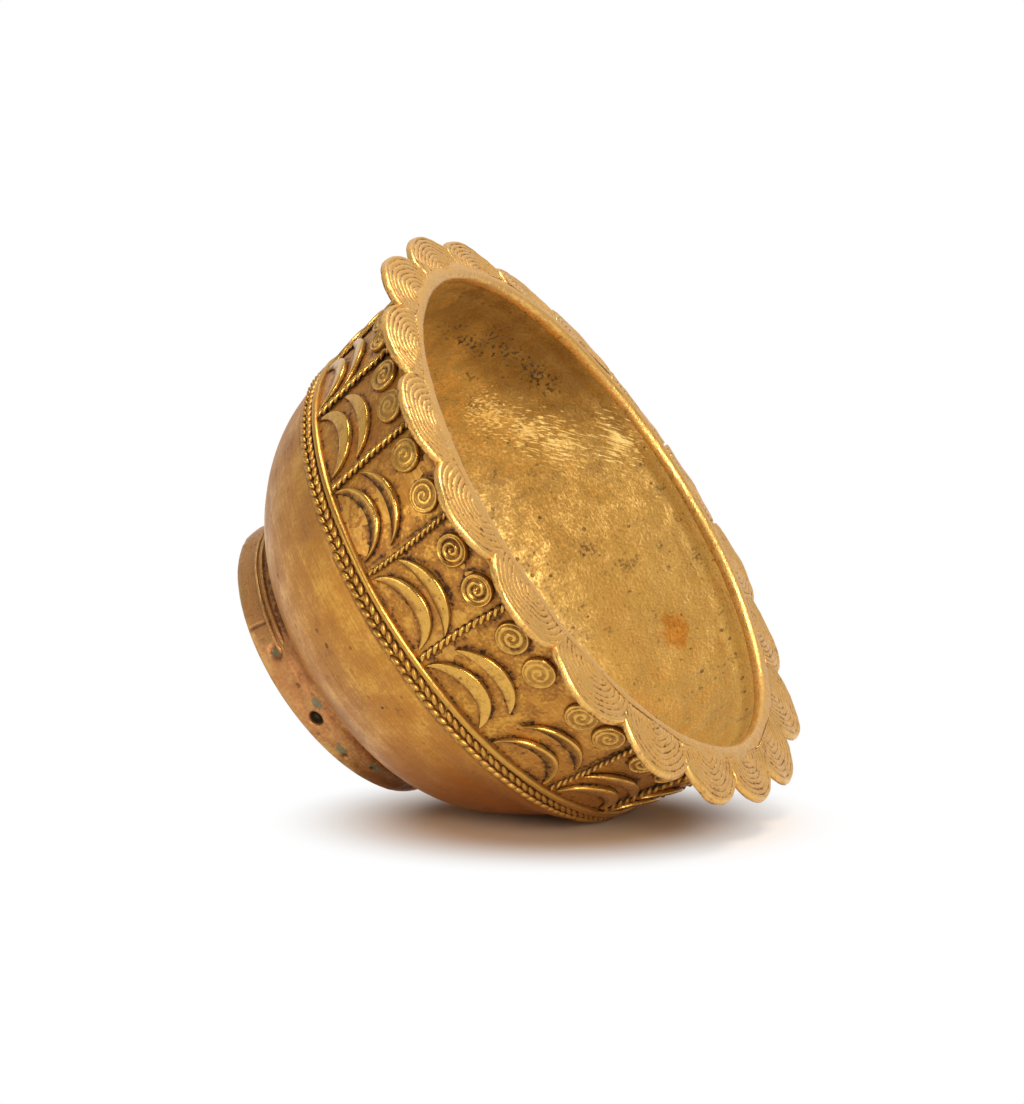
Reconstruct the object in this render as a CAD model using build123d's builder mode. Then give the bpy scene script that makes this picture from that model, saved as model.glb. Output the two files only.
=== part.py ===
# Cast brass offering bowl with a petal rim and a relief frieze.
# The bowl stands upright on its foot: +Z is its axis and the origin is on the table, under the mouth's centre.
# The side that shows the frieze faces -Y. All sizes are in millimetres.
import os
from math import asin, atan2, cos, degrees, pi, radians, sin, sqrt, tan

from build123d import *

os.makedirs("parts", exist_ok=True)

# Mouth and wall
mouth_radius = 65.0
wall = 2.6
lip_overhang = 1.0

# Belly: an arc from the crease above the foot to the lower edge of the plait
crease_radius = 35.0
crease_height = 8.0
belly_radius = 63.6
belly_height = 41.2
belly_bulge = 5.8

# Foot ring, which its maker set off the bowl's axis
foot_offset = 2.5
foot_neck_step = 1.4
foot_splay = 1.8
foot_wall = 4.4
foot_lip_height = 1.8
foot_edge_bevel = 0.6
foot_thread_width = 1.1
foot_thread_relief = 0.5
foot_thread_gap = 0.3
foot_thread_drop = 1.9

# Collar that forms the lip
collar_width = 5.0
collar_height = 3.6
collar_rounding = 1.1

# Petals round the collar
petals = 19
petal_phase = 11.4
petal_length = 10.0
petal_thickness = 1.5
petal_droop = 8.0
petal_drop = 0.7
petal_gap = 0.3
petal_steps = 2
petal_step_width = 2.4
petal_step_height = 0.35

# Plait of two cords, and the wires that border the frieze
cord_width = 2.2
cord_relief = 1.3
cord_flat = 0.9
wire_width = 1.8
wire_relief = 1.3
wire_flat = 0.8
fine_wire_width = 1.2
fine_wire_relief = 0.9
fine_wire_flat = 0.5
band_gap = 0.05

# Frieze panels and the ropes between them
panels = 18
panel_phase = 15.5
missing_divider_number = 15
rope_width = 2.2
rope_relief = 1.5
rope_end_gap = 0.4

# Crescents: rise of the outer edge above the tips, greatest width, and gaps up the wall and to the ropes
relief = 1.4
inner_rise = 8.8
inner_depth = 3.1
inner_tip_gap = 0.6
inner_side_gap = 1.0
outer_rise = 7.0
outer_depth = 2.7
outer_side_gap = 0.6
crescent_gap = 3.9

# Spiral discs, side by side under the rim, each a thread coiled flat
disc_radius = 3.9
disc_relief = 1.2
disc_apart = 2.0
disc_gap = 2.6
rim_gap = 1.7
coil_start = 0.5
coil_turns = 2
coil_points = 8
coil_edge = 0.75
coil_groove = 0.5
coil_depth = 0.4

# Everything laid on another surface stops this far from it
seat_gap = 0.06

# The frieze is stacked up the wall's slope from the top of the belly, and the rim follows it
wire_edge = 2 * cord_width + 2 * band_gap + wire_width
inner_tips = wire_edge + inner_tip_gap
inner_crest = inner_tips + inner_rise
outer_crest = inner_crest + crescent_gap + outer_depth
outer_tips = outer_crest - outer_rise
disc_centre = outer_crest + disc_gap + disc_radius
fine_wire_edge = disc_centre + disc_radius + rim_gap
frieze_length = fine_wire_edge + fine_wire_width + band_gap
frieze_spread = mouth_radius + lip_overhang + wall - belly_radius
flare = asin(frieze_spread / frieze_length)
up_slope = Vector(sin(flare), 0, cos(flare))
out_of_wall = Vector(cos(flare), 0, -sin(flare))
collar_seat = belly_height + frieze_length * cos(flare)
mouth_height = collar_seat + collar_height
collar_radius = mouth_radius + collar_width


def on_wall(distance):
    """Point of the wall's outer surface at +X, so far up the slope from the belly's top."""
    return Vector(belly_radius, 0, belly_height) + up_slope * distance


def wall_section(distance):
    """Plane through the axis: x runs up the flaring wall and y points out of it."""
    return Plane(origin=on_wall(distance), x_dir=up_slope, z_dir=(0, 1, 0))


def wall_front(distance):
    """Plane on the flaring wall at +X: x runs round the bowl, y runs up the wall."""
    return Plane(origin=on_wall(distance), x_dir=(0, 1, 0), z_dir=out_of_wall)


def panel_room(distance):
    """Clear width of a panel between its two ropes."""
    return 2 * pi * on_wall(distance).X / panels - rope_width


def belly_arc():
    """Start, middle and end of the belly's outer arc, and the centre of the base's arc on the axis."""
    start = Vector(crease_radius, crease_height)
    end = Vector(belly_radius, belly_height)
    chord = end - start
    outward = Vector(chord.Y, -chord.X).normalized()
    middle = (start + end) / 2 + outward * belly_bulge
    arc_radius = chord.length**2 / (8 * belly_bulge) + belly_bulge / 2
    centre = middle - outward * arc_radius
    inward = (centre - start).normalized()
    base_radius = -crease_radius / inward.X
    base_centre = crease_height + base_radius * inward.Y
    return start, middle, end, base_centre, base_radius


def outer_profile():
    """Outer line of the bowl from the axis up to the mouth's height. Returns its two ends."""
    start, middle, end, base_centre, base_radius = belly_arc()
    half_way = crease_radius / 2
    base_middle = base_centre - sqrt(base_radius**2 - half_way**2)
    bottom = (0, base_centre - base_radius)
    top = (belly_radius + (mouth_height - belly_height) * tan(flare), mouth_height)
    ThreePointArc(bottom, (half_way, base_middle), (start.X, start.Y))
    ThreePointArc((start.X, start.Y), (middle.X, middle.Y), (end.X, end.Y))
    Line((end.X, end.Y), top)
    return bottom, top


# Solid body of the bowl's outer surface, used to seat what is laid on it
with BuildPart() as envelope:
    with BuildSketch(Plane.XZ):
        with BuildLine():
            bottom, top = outer_profile()
            Polyline(top, (0, mouth_height), bottom)
        make_face()
    revolve(axis=Axis.Z)

# Bowl wall: round base, belly and flaring upper wall, open at the top
with BuildPart() as bowl_wall:
    with BuildSketch(Plane.XZ):
        with BuildLine():
            outer_profile()
            offset(amount=wall, side=Side.LEFT)
        make_face()
    revolve(axis=Axis.Z)
    split(bisect_by=Plane.XY.offset(collar_seat), keep=Keep.BOTTOM)
bowl_wall.part.label = "bowl_wall"
export_step(bowl_wall.part, "parts/bowl_wall.step")

# Foot ring: splayed outside, open underneath, and cut to sit against the belly
foot_neck_radius = crease_radius + foot_neck_step
foot_radius = foot_neck_radius + foot_splay
foot_axis = Axis((-foot_offset, 0, 0), (0, 0, 1))
foot_top = crease_height + foot_offset + foot_wall
foot_section = Plane(origin=(-foot_offset, 0, 0), x_dir=(1, 0, 0), z_dir=(0, -1, 0))
with BuildPart() as foot_ring:
    with BuildSketch(foot_section):
        with BuildLine():
            Polyline(
                (foot_radius - foot_wall, 0),
                (foot_radius - foot_edge_bevel, 0),
                (foot_radius, foot_lip_height),
                (foot_neck_radius, crease_height),
                (foot_neck_radius, foot_top),
                (foot_radius - foot_wall, foot_top),
                close=True,
            )
        make_face()
    revolve(axis=foot_axis)
    add(envelope.part, mode=Mode.SUBTRACT)
foot_ring.part.label = "foot_ring"
export_step(foot_ring.part, "parts/foot_ring.step")

# Two fine threads laid round the upper part of the foot
foot_slope = atan2(foot_splay, crease_height - foot_lip_height)
for place, name in enumerate(["foot_thread_upper", "foot_thread_lower"]):
    thread_height = crease_height - foot_thread_drop - place * (foot_thread_width + foot_thread_gap)
    lean = tan(foot_slope) * (thread_height - foot_lip_height)
    thread_plane = Plane(
        origin=(foot_radius - lean - foot_offset + seat_gap, 0, thread_height),
        x_dir=(-sin(foot_slope), 0, cos(foot_slope)),
        z_dir=(0, 1, 0),
    )
    with BuildPart() as foot_thread:
        with BuildSketch(thread_plane):
            with BuildLine():
                Polyline(
                    (-foot_thread_width / 2, 0),
                    (foot_thread_width / 2, 0),
                    (0, foot_thread_relief),
                    close=True,
                )
            make_face()
        revolve(axis=foot_axis)
    foot_thread.part.label = name
    export_step(foot_thread.part, f"parts/{name}.step")


def ring_on_wall(foot, width, proud, flat):
    """A cord or wire bent round the flaring wall, with bevelled shoulders."""
    with BuildPart() as ring:
        with BuildSketch(wall_section(foot + width / 2)):
            with BuildLine():
                Polyline(
                    (-width / 2, seat_gap),
                    (width / 2, seat_gap),
                    (flat / 2, proud),
                    (-flat / 2, proud),
                    close=True,
                )
            make_face()
        revolve(axis=Axis.Z)
    return ring.part


# Plait, plain wire and fine wire, each from its lower edge on the slope
bands = {
    "plait_cord_lower": (0, cord_width, cord_relief, cord_flat),
    "plait_cord_upper": (cord_width + band_gap, cord_width, cord_relief, cord_flat),
    "border_wire_lower": (wire_edge - wire_width, wire_width, wire_relief, wire_flat),
    "border_wire_upper": (fine_wire_edge, fine_wire_width, fine_wire_relief, fine_wire_flat),
}
for name, sizes in bands.items():
    band = ring_on_wall(*sizes)
    band.label = name
    export_step(band, f"parts/{name}.step")

# Layer on the flaring wall that the crescents fill
layer_length = fine_wire_edge - wire_edge
with BuildPart() as relief_layer:
    with BuildSketch(wall_section(wire_edge)):
        with Locations((layer_length / 2, seat_gap + relief / 2)):
            Rectangle(layer_length, relief)
    revolve(axis=Axis.Z)


def crescents(tips, span, rise, depth):
    """One crescent for each panel: two arcs through the same tips, following the wall's curve."""
    with BuildPart() as crescent:
        with BuildSketch(wall_front(tips)):
            with BuildLine():
                ThreePointArc((-span / 2, 0), (0, rise), (span / 2, 0))
                ThreePointArc((span / 2, 0), (0, rise - depth), (-span / 2, 0))
            make_face()
        extrude(amount=relief * 2 + span**2 / (8 * belly_radius), both=True)
        add(relief_layer.part, mode=Mode.INTERSECT)
    with BuildPart() as group:
        with PolarLocations(0, panels, start_angle=panel_phase + 180 / panels):
            add(crescent.part)
    return group.part


inner_span = panel_room(inner_tips) - 2 * inner_side_gap
inner_crescents = crescents(inner_tips, inner_span, inner_rise, inner_depth)
inner_crescents.label = "inner_crescents"
export_step(inner_crescents, "parts/inner_crescents.step")

outer_span = panel_room(outer_tips) - 2 * outer_side_gap
outer_crescents = crescents(outer_tips, outer_span, outer_rise, outer_depth)
outer_crescents.label = "outer_crescents"
export_step(outer_crescents, "parts/outer_crescents.step")

# Spiral discs: two in each panel, cut underneath to the wall's curve, with a groove between the coil's turns
disc_turn = degrees((disc_radius + disc_apart / 2) / on_wall(disc_centre).X)
coil_growth = (disc_radius - coil_edge - coil_start) / (coil_turns * coil_points)
coil_line = []
for point in range(coil_turns * coil_points + 1):
    reach = coil_start + coil_growth * point
    turn = 2 * pi * point / coil_points
    coil_line.append((reach * cos(turn), reach * sin(turn)))
with BuildPart() as disc:
    with BuildSketch(wall_front(disc_centre)):
        Circle(disc_radius)
    extrude(amount=disc_relief, both=True)
    add(envelope.part, mode=Mode.SUBTRACT)
    with BuildSketch(wall_front(disc_centre).offset(disc_relief)):
        with BuildLine():
            Spline(*coil_line)
        trace(line_width=coil_groove)
    extrude(amount=-coil_depth, mode=Mode.SUBTRACT)
with BuildPart() as spiral_discs:
    for side in (-disc_turn, disc_turn):
        with PolarLocations(0, panels, start_angle=panel_phase + 180 / panels + side):
            add(disc.part)
spiral_discs.part.label = "spiral_discs"
export_step(spiral_discs.part, "parts/spiral_discs.step")

# Divider ropes: half-round bars up the wall, from the plain wire to the fine wire
rope_start = on_wall(wire_edge + rope_end_gap)
with BuildPart() as rope_blank:
    with BuildSketch(Plane(origin=rope_start, x_dir=(0, -1, 0), z_dir=up_slope)):
        with BuildLine():
            Line((-rope_width / 2, seat_gap), (rope_width / 2, seat_gap))
            ThreePointArc((rope_width / 2, seat_gap), (0, rope_relief), (-rope_width / 2, seat_gap))
        make_face()
    extrude(amount=fine_wire_edge - wire_edge - 2 * rope_end_gap)
rope_numbers = [number for number in range(1, panels + 1) if number != missing_divider_number]
for number in rope_numbers:
    with BuildPart() as rope:
        with Locations(Rotation(0, 0, panel_phase + (number - 1) * 360 / panels)):
            add(rope_blank.part)
    rope.part.label = f"divider_rope_{number:02d}"
    export_step(rope.part, f"parts/divider_rope_{number:02d}.step")

# Lip collar: a smooth ring on the wall's top edge, a little narrower inside than the wall below it
with BuildPart() as lip_collar:
    with BuildSketch(Plane.XZ):
        with Locations((mouth_radius + collar_width / 2, mouth_height - collar_height / 2)):
            Rectangle(collar_width, collar_height - seat_gap * 2)
    revolve(axis=Axis.Z)
    fillet(lip_collar.edges().group_by(Axis.Z)[-1], radius=collar_rounding)
lip_collar.part.label = "lip_collar"
export_step(lip_collar.part, "parts/lip_collar.step")

# Petals: half ovals against the collar, stepped up towards the middle
petal_half_width = collar_radius * sin(radians(180 / petals)) - petal_gap / 2
petal_root = petal_half_width**2 / collar_radius
droop = radians(petal_droop)
petal_top = Plane(
    origin=(collar_radius, 0, mouth_height - petal_drop),
    x_dir=(0, -1, 0),
    z_dir=(sin(droop), 0, cos(droop)),
)
with BuildPart() as collar_core:
    Cylinder(collar_radius + seat_gap, mouth_height * 4)
with BuildPart() as petal_blank:
    for step in range(petal_steps + 1):
        inset = step * petal_step_width
        with BuildSketch(petal_top.offset((step - petal_steps) * petal_step_height)):
            Ellipse(petal_half_width - inset, petal_length - inset)
            with Locations((0, -petal_length / 2)):
                Rectangle(petal_half_width * 2, petal_length, mode=Mode.SUBTRACT)
            with Locations((0, -petal_root / 2)):
                Rectangle((petal_half_width - inset) * 2, petal_root)
        extrude(amount=-petal_step_height if step else -petal_thickness)
    add(collar_core.part, mode=Mode.SUBTRACT)
for number in range(1, petals + 1):
    with BuildPart() as petal:
        with Locations(Rotation(0, 0, petal_phase + (number - 1) * 360 / petals)):
            add(petal_blank.part)
    petal.part.label = f"petal_{number:02d}"
    export_step(petal.part, f"parts/petal_{number:02d}.step")
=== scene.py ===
import math
import random

import bmesh
import bpy
import numpy as np
from mathutils import Matrix, Vector, kdtree, noise


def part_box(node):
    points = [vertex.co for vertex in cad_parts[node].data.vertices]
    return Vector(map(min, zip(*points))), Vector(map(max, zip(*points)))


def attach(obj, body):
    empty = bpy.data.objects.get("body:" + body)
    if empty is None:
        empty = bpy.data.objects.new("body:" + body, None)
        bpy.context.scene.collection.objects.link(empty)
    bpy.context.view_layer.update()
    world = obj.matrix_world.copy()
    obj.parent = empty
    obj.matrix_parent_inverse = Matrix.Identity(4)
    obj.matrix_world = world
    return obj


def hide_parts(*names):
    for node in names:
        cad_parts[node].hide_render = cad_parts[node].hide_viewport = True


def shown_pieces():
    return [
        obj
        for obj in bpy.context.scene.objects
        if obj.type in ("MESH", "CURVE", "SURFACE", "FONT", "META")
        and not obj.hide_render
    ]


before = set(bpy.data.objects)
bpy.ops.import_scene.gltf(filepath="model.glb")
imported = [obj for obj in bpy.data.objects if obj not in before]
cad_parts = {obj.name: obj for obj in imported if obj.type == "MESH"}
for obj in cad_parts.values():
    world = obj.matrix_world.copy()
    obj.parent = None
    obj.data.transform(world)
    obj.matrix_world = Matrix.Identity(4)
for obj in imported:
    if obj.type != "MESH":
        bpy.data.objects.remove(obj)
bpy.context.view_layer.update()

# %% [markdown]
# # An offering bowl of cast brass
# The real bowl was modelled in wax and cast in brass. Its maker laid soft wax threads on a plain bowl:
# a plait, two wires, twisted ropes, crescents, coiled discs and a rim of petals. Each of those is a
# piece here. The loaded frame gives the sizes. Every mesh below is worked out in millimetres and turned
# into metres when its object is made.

MM = 0.001
TAU = 2 * math.pi


def node_box(name):
    """Lowest and highest corner of a CAD node, in millimetres."""
    low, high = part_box(name)
    return [v / MM for v in low], [v / MM for v in high]


# %% [markdown]
# ## The wall's shape
# The belly is an arc, and the frieze above it is a straight flaring wall. Ornaments could be set on it
# by eye, one by one, or shrink-wrapped. Here each is placed by two numbers instead: how far up the
# slope it lies from the belly's top, and how far it stands out of the wall. A helper turns these into a
# radius and a height, so a piece always sits on the wall exactly.

# %% Sizes of the wall
mouth_radius, wall = 65.0, 2.6
crease_radius, crease_height = 35.0, 8.0
belly_radius, belly_height, belly_bulge = 63.6, 41.2, 5.8
wall_top = node_box("bowl_wall")[1]
frieze_top_radius, collar_seat = wall_top[0], wall_top[2]
flare = math.atan2(frieze_top_radius - belly_radius, collar_seat - belly_height)
frieze_length = (collar_seat - belly_height) / math.cos(flare)
mouth_height = node_box("lip_collar")[1][2]
print("flare", round(math.degrees(flare), 2), "frieze length", round(frieze_length, 2))


def on_wall(up, out=0.0):
    """Radius and height of a point so far up the frieze's slope and so far out of the wall."""
    radius = belly_radius + up * math.sin(flare) + out * math.cos(flare)
    height = belly_height + up * math.cos(flare) - out * math.sin(flare)
    return radius, height


def laid_on_wall(across, up, out):
    """Points on the frieze at +X from arrays: distance round the bowl, up the slope and out of the wall."""
    radius, height = on_wall(up, out)
    angle = across / on_wall(up)[0]
    return np.stack([radius * np.cos(angle), radius * np.sin(angle), height], -1)


# %% [markdown]
# ## Meshes from grids
# Nearly every piece is a grid of points that is bent into place: a lathe is a grid bent round the axis,
# a thread is a grid bent round its path. Blender's Screw modifier and bevelled curves make such shapes
# too, but with a grid every single point can be pushed and marked. One helper joins the rows of a grid
# with quads. Each mesh also carries a number per point called `crest`: 0 down in a corner where dirt
# stays, and where shade is painted on the frieze's ground and in the groove inside, 1 on a top that
# hands have polished. The materials read it.

# %% Helpers for meshes
WELD_DISTANCE = 1e-7


def grid_faces(rows, columns, loop_rows=False, loop_columns=False):
    """Quads of a grid of points stored row by row."""
    row_count = rows if loop_rows else rows - 1
    column_count = columns if loop_columns else columns - 1
    r, c = np.meshgrid(np.arange(row_count), np.arange(column_count), indexing="ij")
    right, down = (c + 1) % columns, (r + 1) % rows
    quads = np.stack([r * columns + c, r * columns + right, down * columns + right, down * columns + c], -1)
    return quads.reshape(-1, 4).tolist()


def make_mesh(name, points, faces, crest):
    """A smooth mesh object at the origin from points in millimetres."""
    mesh = bpy.data.meshes.new(name)
    mesh.from_pydata((np.asarray(points) * MM).tolist(), [], faces)
    mesh.polygons.foreach_set("use_smooth", [True] * len(mesh.polygons))
    values = np.asarray(crest).astype(np.float32)
    mesh.attributes.new("crest", "FLOAT", "POINT").data.foreach_set("value", values)
    mesh.update()
    piece = bpy.data.objects.new(name, mesh)
    bpy.context.scene.collection.objects.link(piece)
    return piece


def finish_piece(piece, material, slot, *nodes):
    """Welds points that coincide, gives a piece its material and hands it to the frame."""
    if not piece.data.materials:
        piece.data.materials.append(material)
    work = bmesh.new()
    work.from_mesh(piece.data)
    bmesh.ops.remove_doubles(work, verts=work.verts, dist=WELD_DISTANCE)
    work.to_mesh(piece.data)
    work.free()
    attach(piece, "root")
    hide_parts(*nodes)
    print(piece.name, "faces", len(piece.data.polygons), "for", len(nodes), "node(s)")


print("a grid of 3 by 4 points has", len(grid_faces(3, 4)), "quads")


# %% Helpers for shapes
def rough(points, size, strength, seed=0.0):
    """Uneven heights at points in millimetres: smooth noise with bumps about `size` wide."""
    shift = Vector((seed, seed * 1.7, -seed))
    return np.array([noise.noise(Vector(p) / size + shift) for p in points]) * strength


def smooth_step(value, low, high):
    """0 below low, 1 above high and a soft rise between."""
    part = np.clip((value - low) / (high - low), 0.0, 1.0)
    return part * part * (3.0 - 2.0 * part)


def bell(value, middle, half_width):
    """1 in the middle and a soft fall to 0 on both sides."""
    return np.exp(-(((value - middle) / half_width) ** 2))


def lathe(profile, columns):
    """Points of a profile turned about the bowl's axis, row by row."""
    turn = np.linspace(0.0, TAU, columns, endpoint=False)
    radius, heights = profile[:, :1], np.repeat(profile[:, 1:], columns, 1)
    return np.stack([radius * np.cos(turn), radius * np.sin(turn), heights], -1).reshape(-1, 3)


def lathe_normals(profile, columns):
    """Normals to the right of the profile's way that go with lathe()."""
    along = np.gradient(profile, axis=0)
    along /= np.maximum(np.linalg.norm(along, axis=1, keepdims=True), 1e-9)
    turn = np.linspace(0.0, TAU, columns, endpoint=False)
    out, up = along[:, 1:], np.repeat(-along[:, :1], columns, 1)
    return np.stack([out * np.cos(turn), out * np.sin(turn), up], -1).reshape(-1, 3)


print("a soft step is", round(float(smooth_step(0.25, 0.0, 1.0)), 3), "after a quarter of its way")


# %% [markdown]
# ## Node trees in code
# Geometry, materials and the world are all node trees. Adding a node, setting its properties and
# filling its inputs takes many lines when each is written out. One helper does all three: an input gets
# a plain value, or a link when it is given another node's output. A few more helpers name the steps
# that come up again and again.

# %% Helpers for node trees
def fill_inputs(tree, node, inputs):
    """Fills a node's inputs with plain values or with outputs of other nodes."""
    for socket, value in inputs.items():
        if isinstance(value, bpy.types.NodeSocket):
            tree.links.new(value, node.inputs[socket])
        else:
            node.inputs[socket].default_value = value


def add_node(tree, kind, inputs=None, **settings):
    """Adds a node with its properties and inputs, and returns its outputs."""
    node = tree.nodes.new(kind)
    for name, value in settings.items():
        setattr(node, name, value)
    fill_inputs(tree, node, inputs or {})
    return node.outputs


def calculate(tree, operation, first, second):
    """A Math node on two values."""
    return add_node(tree, "ShaderNodeMath", {0: first, 1: second}, operation=operation)[0]


def ramp(tree, value, low, high, to_low=0.0, to_high=1.0):
    """A soft step from one level to another while the value goes from low to high."""
    ends = {"Value": value, "From Min": low, "From Max": high, "To Min": to_low, "To Max": to_high}
    return add_node(tree, "ShaderNodeMapRange", ends, interpolation_type="SMOOTHSTEP")[0]


def mix(tree, factor, first, second):
    """A colour between two colours."""
    return add_node(tree, "ShaderNodeMix", {0: factor, 6: first, 7: second}, data_type="RGBA")[2]


def distance_from(tree, place, centre, reach, rotation=(0.0, 0.0, 0.0)):
    """Distance from a centre, counted in reaches along each of its axes."""
    around = {"Vector": place, "Location": centre, "Rotation": rotation, "Scale": reach}
    offset = add_node(tree, "ShaderNodeMapping", around, vector_type="TEXTURE")[0]
    return add_node(tree, "ShaderNodeVectorMath", {0: offset}, operation="LENGTH")["Value"]


# %% [markdown]
# ## One tree for everything that repeats round the bowl
# Crescents, discs, ropes and the strands of the plait all stand round the axis at even steps. An Array
# modifier could repeat them, but all copies would be exactly alike. A Geometry Nodes tree takes one
# shape, which already lies at its place on the +X side, and turns copies of it about the axis. A little
# chance in the turn and in the place up the slope keeps the hand-laid look. The tree ends in real mesh
# with a material.

# %% The tree of copies
copy_inputs = {
    "Shape": "Object", "Finish": "Material", "Copies": "Int", "First angle": "Float", "Left out": "Int",
    "Turn": "Float", "Slide": "Float", "Seed": "Int", "Slope": "Vector",
}
SLIDE_SEED_STEP = 50.0


def build_copies_tree():
    tree = bpy.data.node_groups.new("copies round the bowl", "GeometryNodeTree")
    tree.interface.new_socket("Geometry", in_out="OUTPUT", socket_type="NodeSocketGeometry")
    for label, kind in copy_inputs.items():
        tree.interface.new_socket(label, in_out="INPUT", socket_type="NodeSocket" + kind)
    given = add_node(tree, "NodeGroupInput")

    def chance(reach, seed):
        """A number between minus and plus reach, another one for each copy."""
        limits = {2: calculate(tree, "MULTIPLY", reach, -1.0), 3: reach, 8: seed}
        return add_node(tree, "FunctionNodeRandomValue", limits, data_type="FLOAT")[1]

    index = add_node(tree, "GeometryNodeInputIndex")[0]
    step = calculate(tree, "DIVIDE", TAU, given["Copies"])
    even = calculate(tree, "ADD", calculate(tree, "MULTIPLY", index, step), given["First angle"])
    angle = calculate(tree, "ADD", even, chance(given["Turn"], given["Seed"]))
    about_axis = add_node(tree, "ShaderNodeCombineXYZ", {2: angle})[0]
    rotation = add_node(tree, "FunctionNodeEulerToRotation", {0: about_axis})[0]
    slide_seed = calculate(tree, "ADD", given["Seed"], SLIDE_SEED_STEP)
    slide = {0: given["Slope"], "Scale": chance(given["Slide"], slide_seed)}
    along_slope = add_node(tree, "ShaderNodeVectorMath", slide, operation="SCALE")[0]
    slide_turned = {"Vector": along_slope, "Angle": angle}
    position = add_node(tree, "ShaderNodeVectorRotate", slide_turned, rotation_type="Z_AXIS")[0]
    points = add_node(tree, "GeometryNodePoints", {"Count": given["Copies"], "Position": position})[0]
    both = {2: index, 3: given["Left out"]}
    keep = add_node(tree, "FunctionNodeCompare", both, data_type="INT", operation="NOT_EQUAL")[0]
    shape = add_node(tree, "GeometryNodeObjectInfo", {"Object": given["Shape"]})["Geometry"]
    placed = {"Points": points, "Selection": keep, "Instance": shape, "Rotation": rotation}
    copies = add_node(tree, "GeometryNodeInstanceOnPoints", placed)[0]
    real = add_node(tree, "GeometryNodeRealizeInstances", {0: copies})[0]
    dressed = add_node(tree, "GeometryNodeSetMaterial", {"Geometry": real, "Material": given["Finish"]})[0]
    add_node(tree, "NodeGroupOutput", {0: dressed})
    return tree


copies_tree = build_copies_tree()
slope = (math.sin(flare), 0.0, math.cos(flare))
print("copies tree", len(copies_tree.nodes), "nodes")


# %% Copies of a shape as a plain mesh
def copies_round(name, shape, material, copies, first_angle, left_out=-1, turn=0.0, slide=0.0, seed=1):
    """A plain mesh object holding copies of a shape round the axis; the shape itself is removed."""
    host = bpy.data.objects.new(name + "_tree", bpy.data.meshes.new(name + "_tree"))
    bpy.context.scene.collection.objects.link(host)
    modifier = host.modifiers.new("copies", "NODES")
    modifier.node_group = copies_tree
    given = {
        "Shape": shape, "Finish": material, "Copies": copies, "First angle": math.radians(first_angle),
        "Left out": left_out, "Turn": math.radians(turn), "Slide": slide * MM, "Seed": seed, "Slope": slope,
    }
    for item in copies_tree.interface.items_tree:
        if item.in_out == "INPUT":
            modifier[item.identifier] = given[item.name]
    evaluated = host.evaluated_get(bpy.context.evaluated_depsgraph_get())
    mesh = bpy.data.meshes.new_from_object(evaluated)
    mesh.name = name
    piece = bpy.data.objects.new(name, mesh)
    bpy.context.scene.collection.objects.link(piece)
    bpy.data.objects.remove(host)
    bpy.data.objects.remove(shape)
    return piece


def joined(name, pieces):
    """One object from several."""
    with bpy.context.temp_override(active_object=pieces[0], selected_editable_objects=pieces):
        bpy.ops.object.join()
    pieces[0].name = name
    pieces[0].data.name = name
    return pieces[0]


# %% [markdown]
# ## Brass and its patina
# Old brass is bright where hands rub it and brown to black where they can't reach. Painting that by
# hand would need an image; here one shader group makes the patina from the `crest` number and layers of
# noise: broad mottling, fine grain, scratches that run level round the bowl, dark casting pits, and
# patches of another tint. It puts out colour, roughness, metalness and a bump height, and each material
# places the group with values of its own. Lengths inside a material are in metres, so a noise scale of
# 400 gives marks of about 2.5 mm.

# %% The patina group
patina_inputs = {
    "Crest": 0.6, "Bright": (0.9, 0.65, 0.3, 1), "Ground": (0.5, 0.3, 0.1, 1), "Grime": (0.05, 0.03, 0.01, 1),
    "Tint": (0.4, 0.2, 0.1, 1), "Tint amount": 0.3, "Tint scale": 60.0, "Mottle scale": 150.0, "Mottle": 0.4,
    "Grain scale": 1300.0, "Grain": 0.3, "Pit scale": 250.0, "Pits": 0.5, "Scratch": 0.0, "Dull": 0.6,
    "Shiny": 0.3, "Dust": 0.3,
}
scratch_stretch = (45.0, 45.0, 2400.0)
largest_pit = 0.22


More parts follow.
